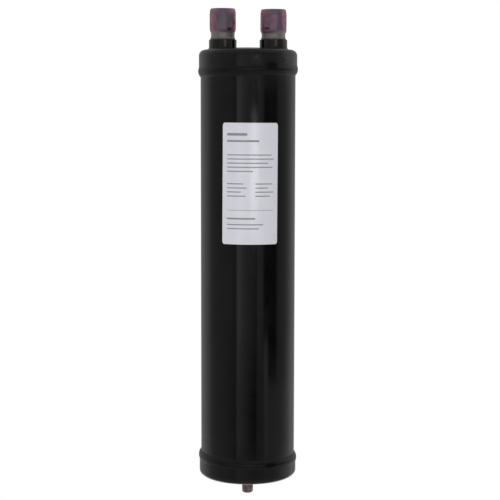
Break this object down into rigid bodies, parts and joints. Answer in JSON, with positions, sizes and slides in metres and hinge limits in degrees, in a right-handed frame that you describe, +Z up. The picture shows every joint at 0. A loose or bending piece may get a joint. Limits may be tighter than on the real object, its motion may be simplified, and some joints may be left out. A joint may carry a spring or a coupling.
{
  "type": "suction line accumulator",
  "caption": "Upright welded steel suction line accumulator with copper sweat ports on its top cap, a U-tube pick-up with oil return inside and a fusible plug underneath.",
  "frame": {"origin": "vessel axis at the tip of the fusible plug, the lowest point of the part", "axes": "+Z up along the vessel axis toward the ports; +X toward the outlet port, -X toward the inlet port; the label faces -Y"},
  "size_m": [0.0852, 0.0852, 0.4191],
  "materials": {
    "black_paint": "semi-gloss black paint on steel",
    "heat_tinted_copper": "copper tube, purple-brown from brazing heat",
    "braze_alloy": "dull brazing alloy",
    "bare_steel": "plain drawn steel",
    "screen_steel": "fine stainless screen",
    "plug_copper": "dark tarnished copper alloy",
    "low_melt_alloy": "dull low-melting alloy",
    "label_paper": "pale satin label stock"
  },
  "bodies": {
    "root": {"shell": "black_paint", "top_cap": "black_paint", "bottom_cap": "black_paint", "top_seam_weld": "black_paint", "bottom_seam_weld": "black_paint", "inlet_fitting": "heat_tinted_copper", "outlet_fitting": "heat_tinted_copper", "inlet_braze": "braze_alloy", "outlet_braze": "braze_alloy", "inlet_deflector": "bare_steel", "u_tube": "bare_steel", "u_tube_braze": "braze_alloy", "leg_brace": "bare_steel", "orifice_boss": "bare_steel", "oil_screen": "screen_steel", "screen_cap": "screen_steel", "fusible_plug": "plug_copper", "fusible_alloy": "low_melt_alloy", "plug_braze": "braze_alloy", "label": "label_paper"}
  },
  "joints": []
}
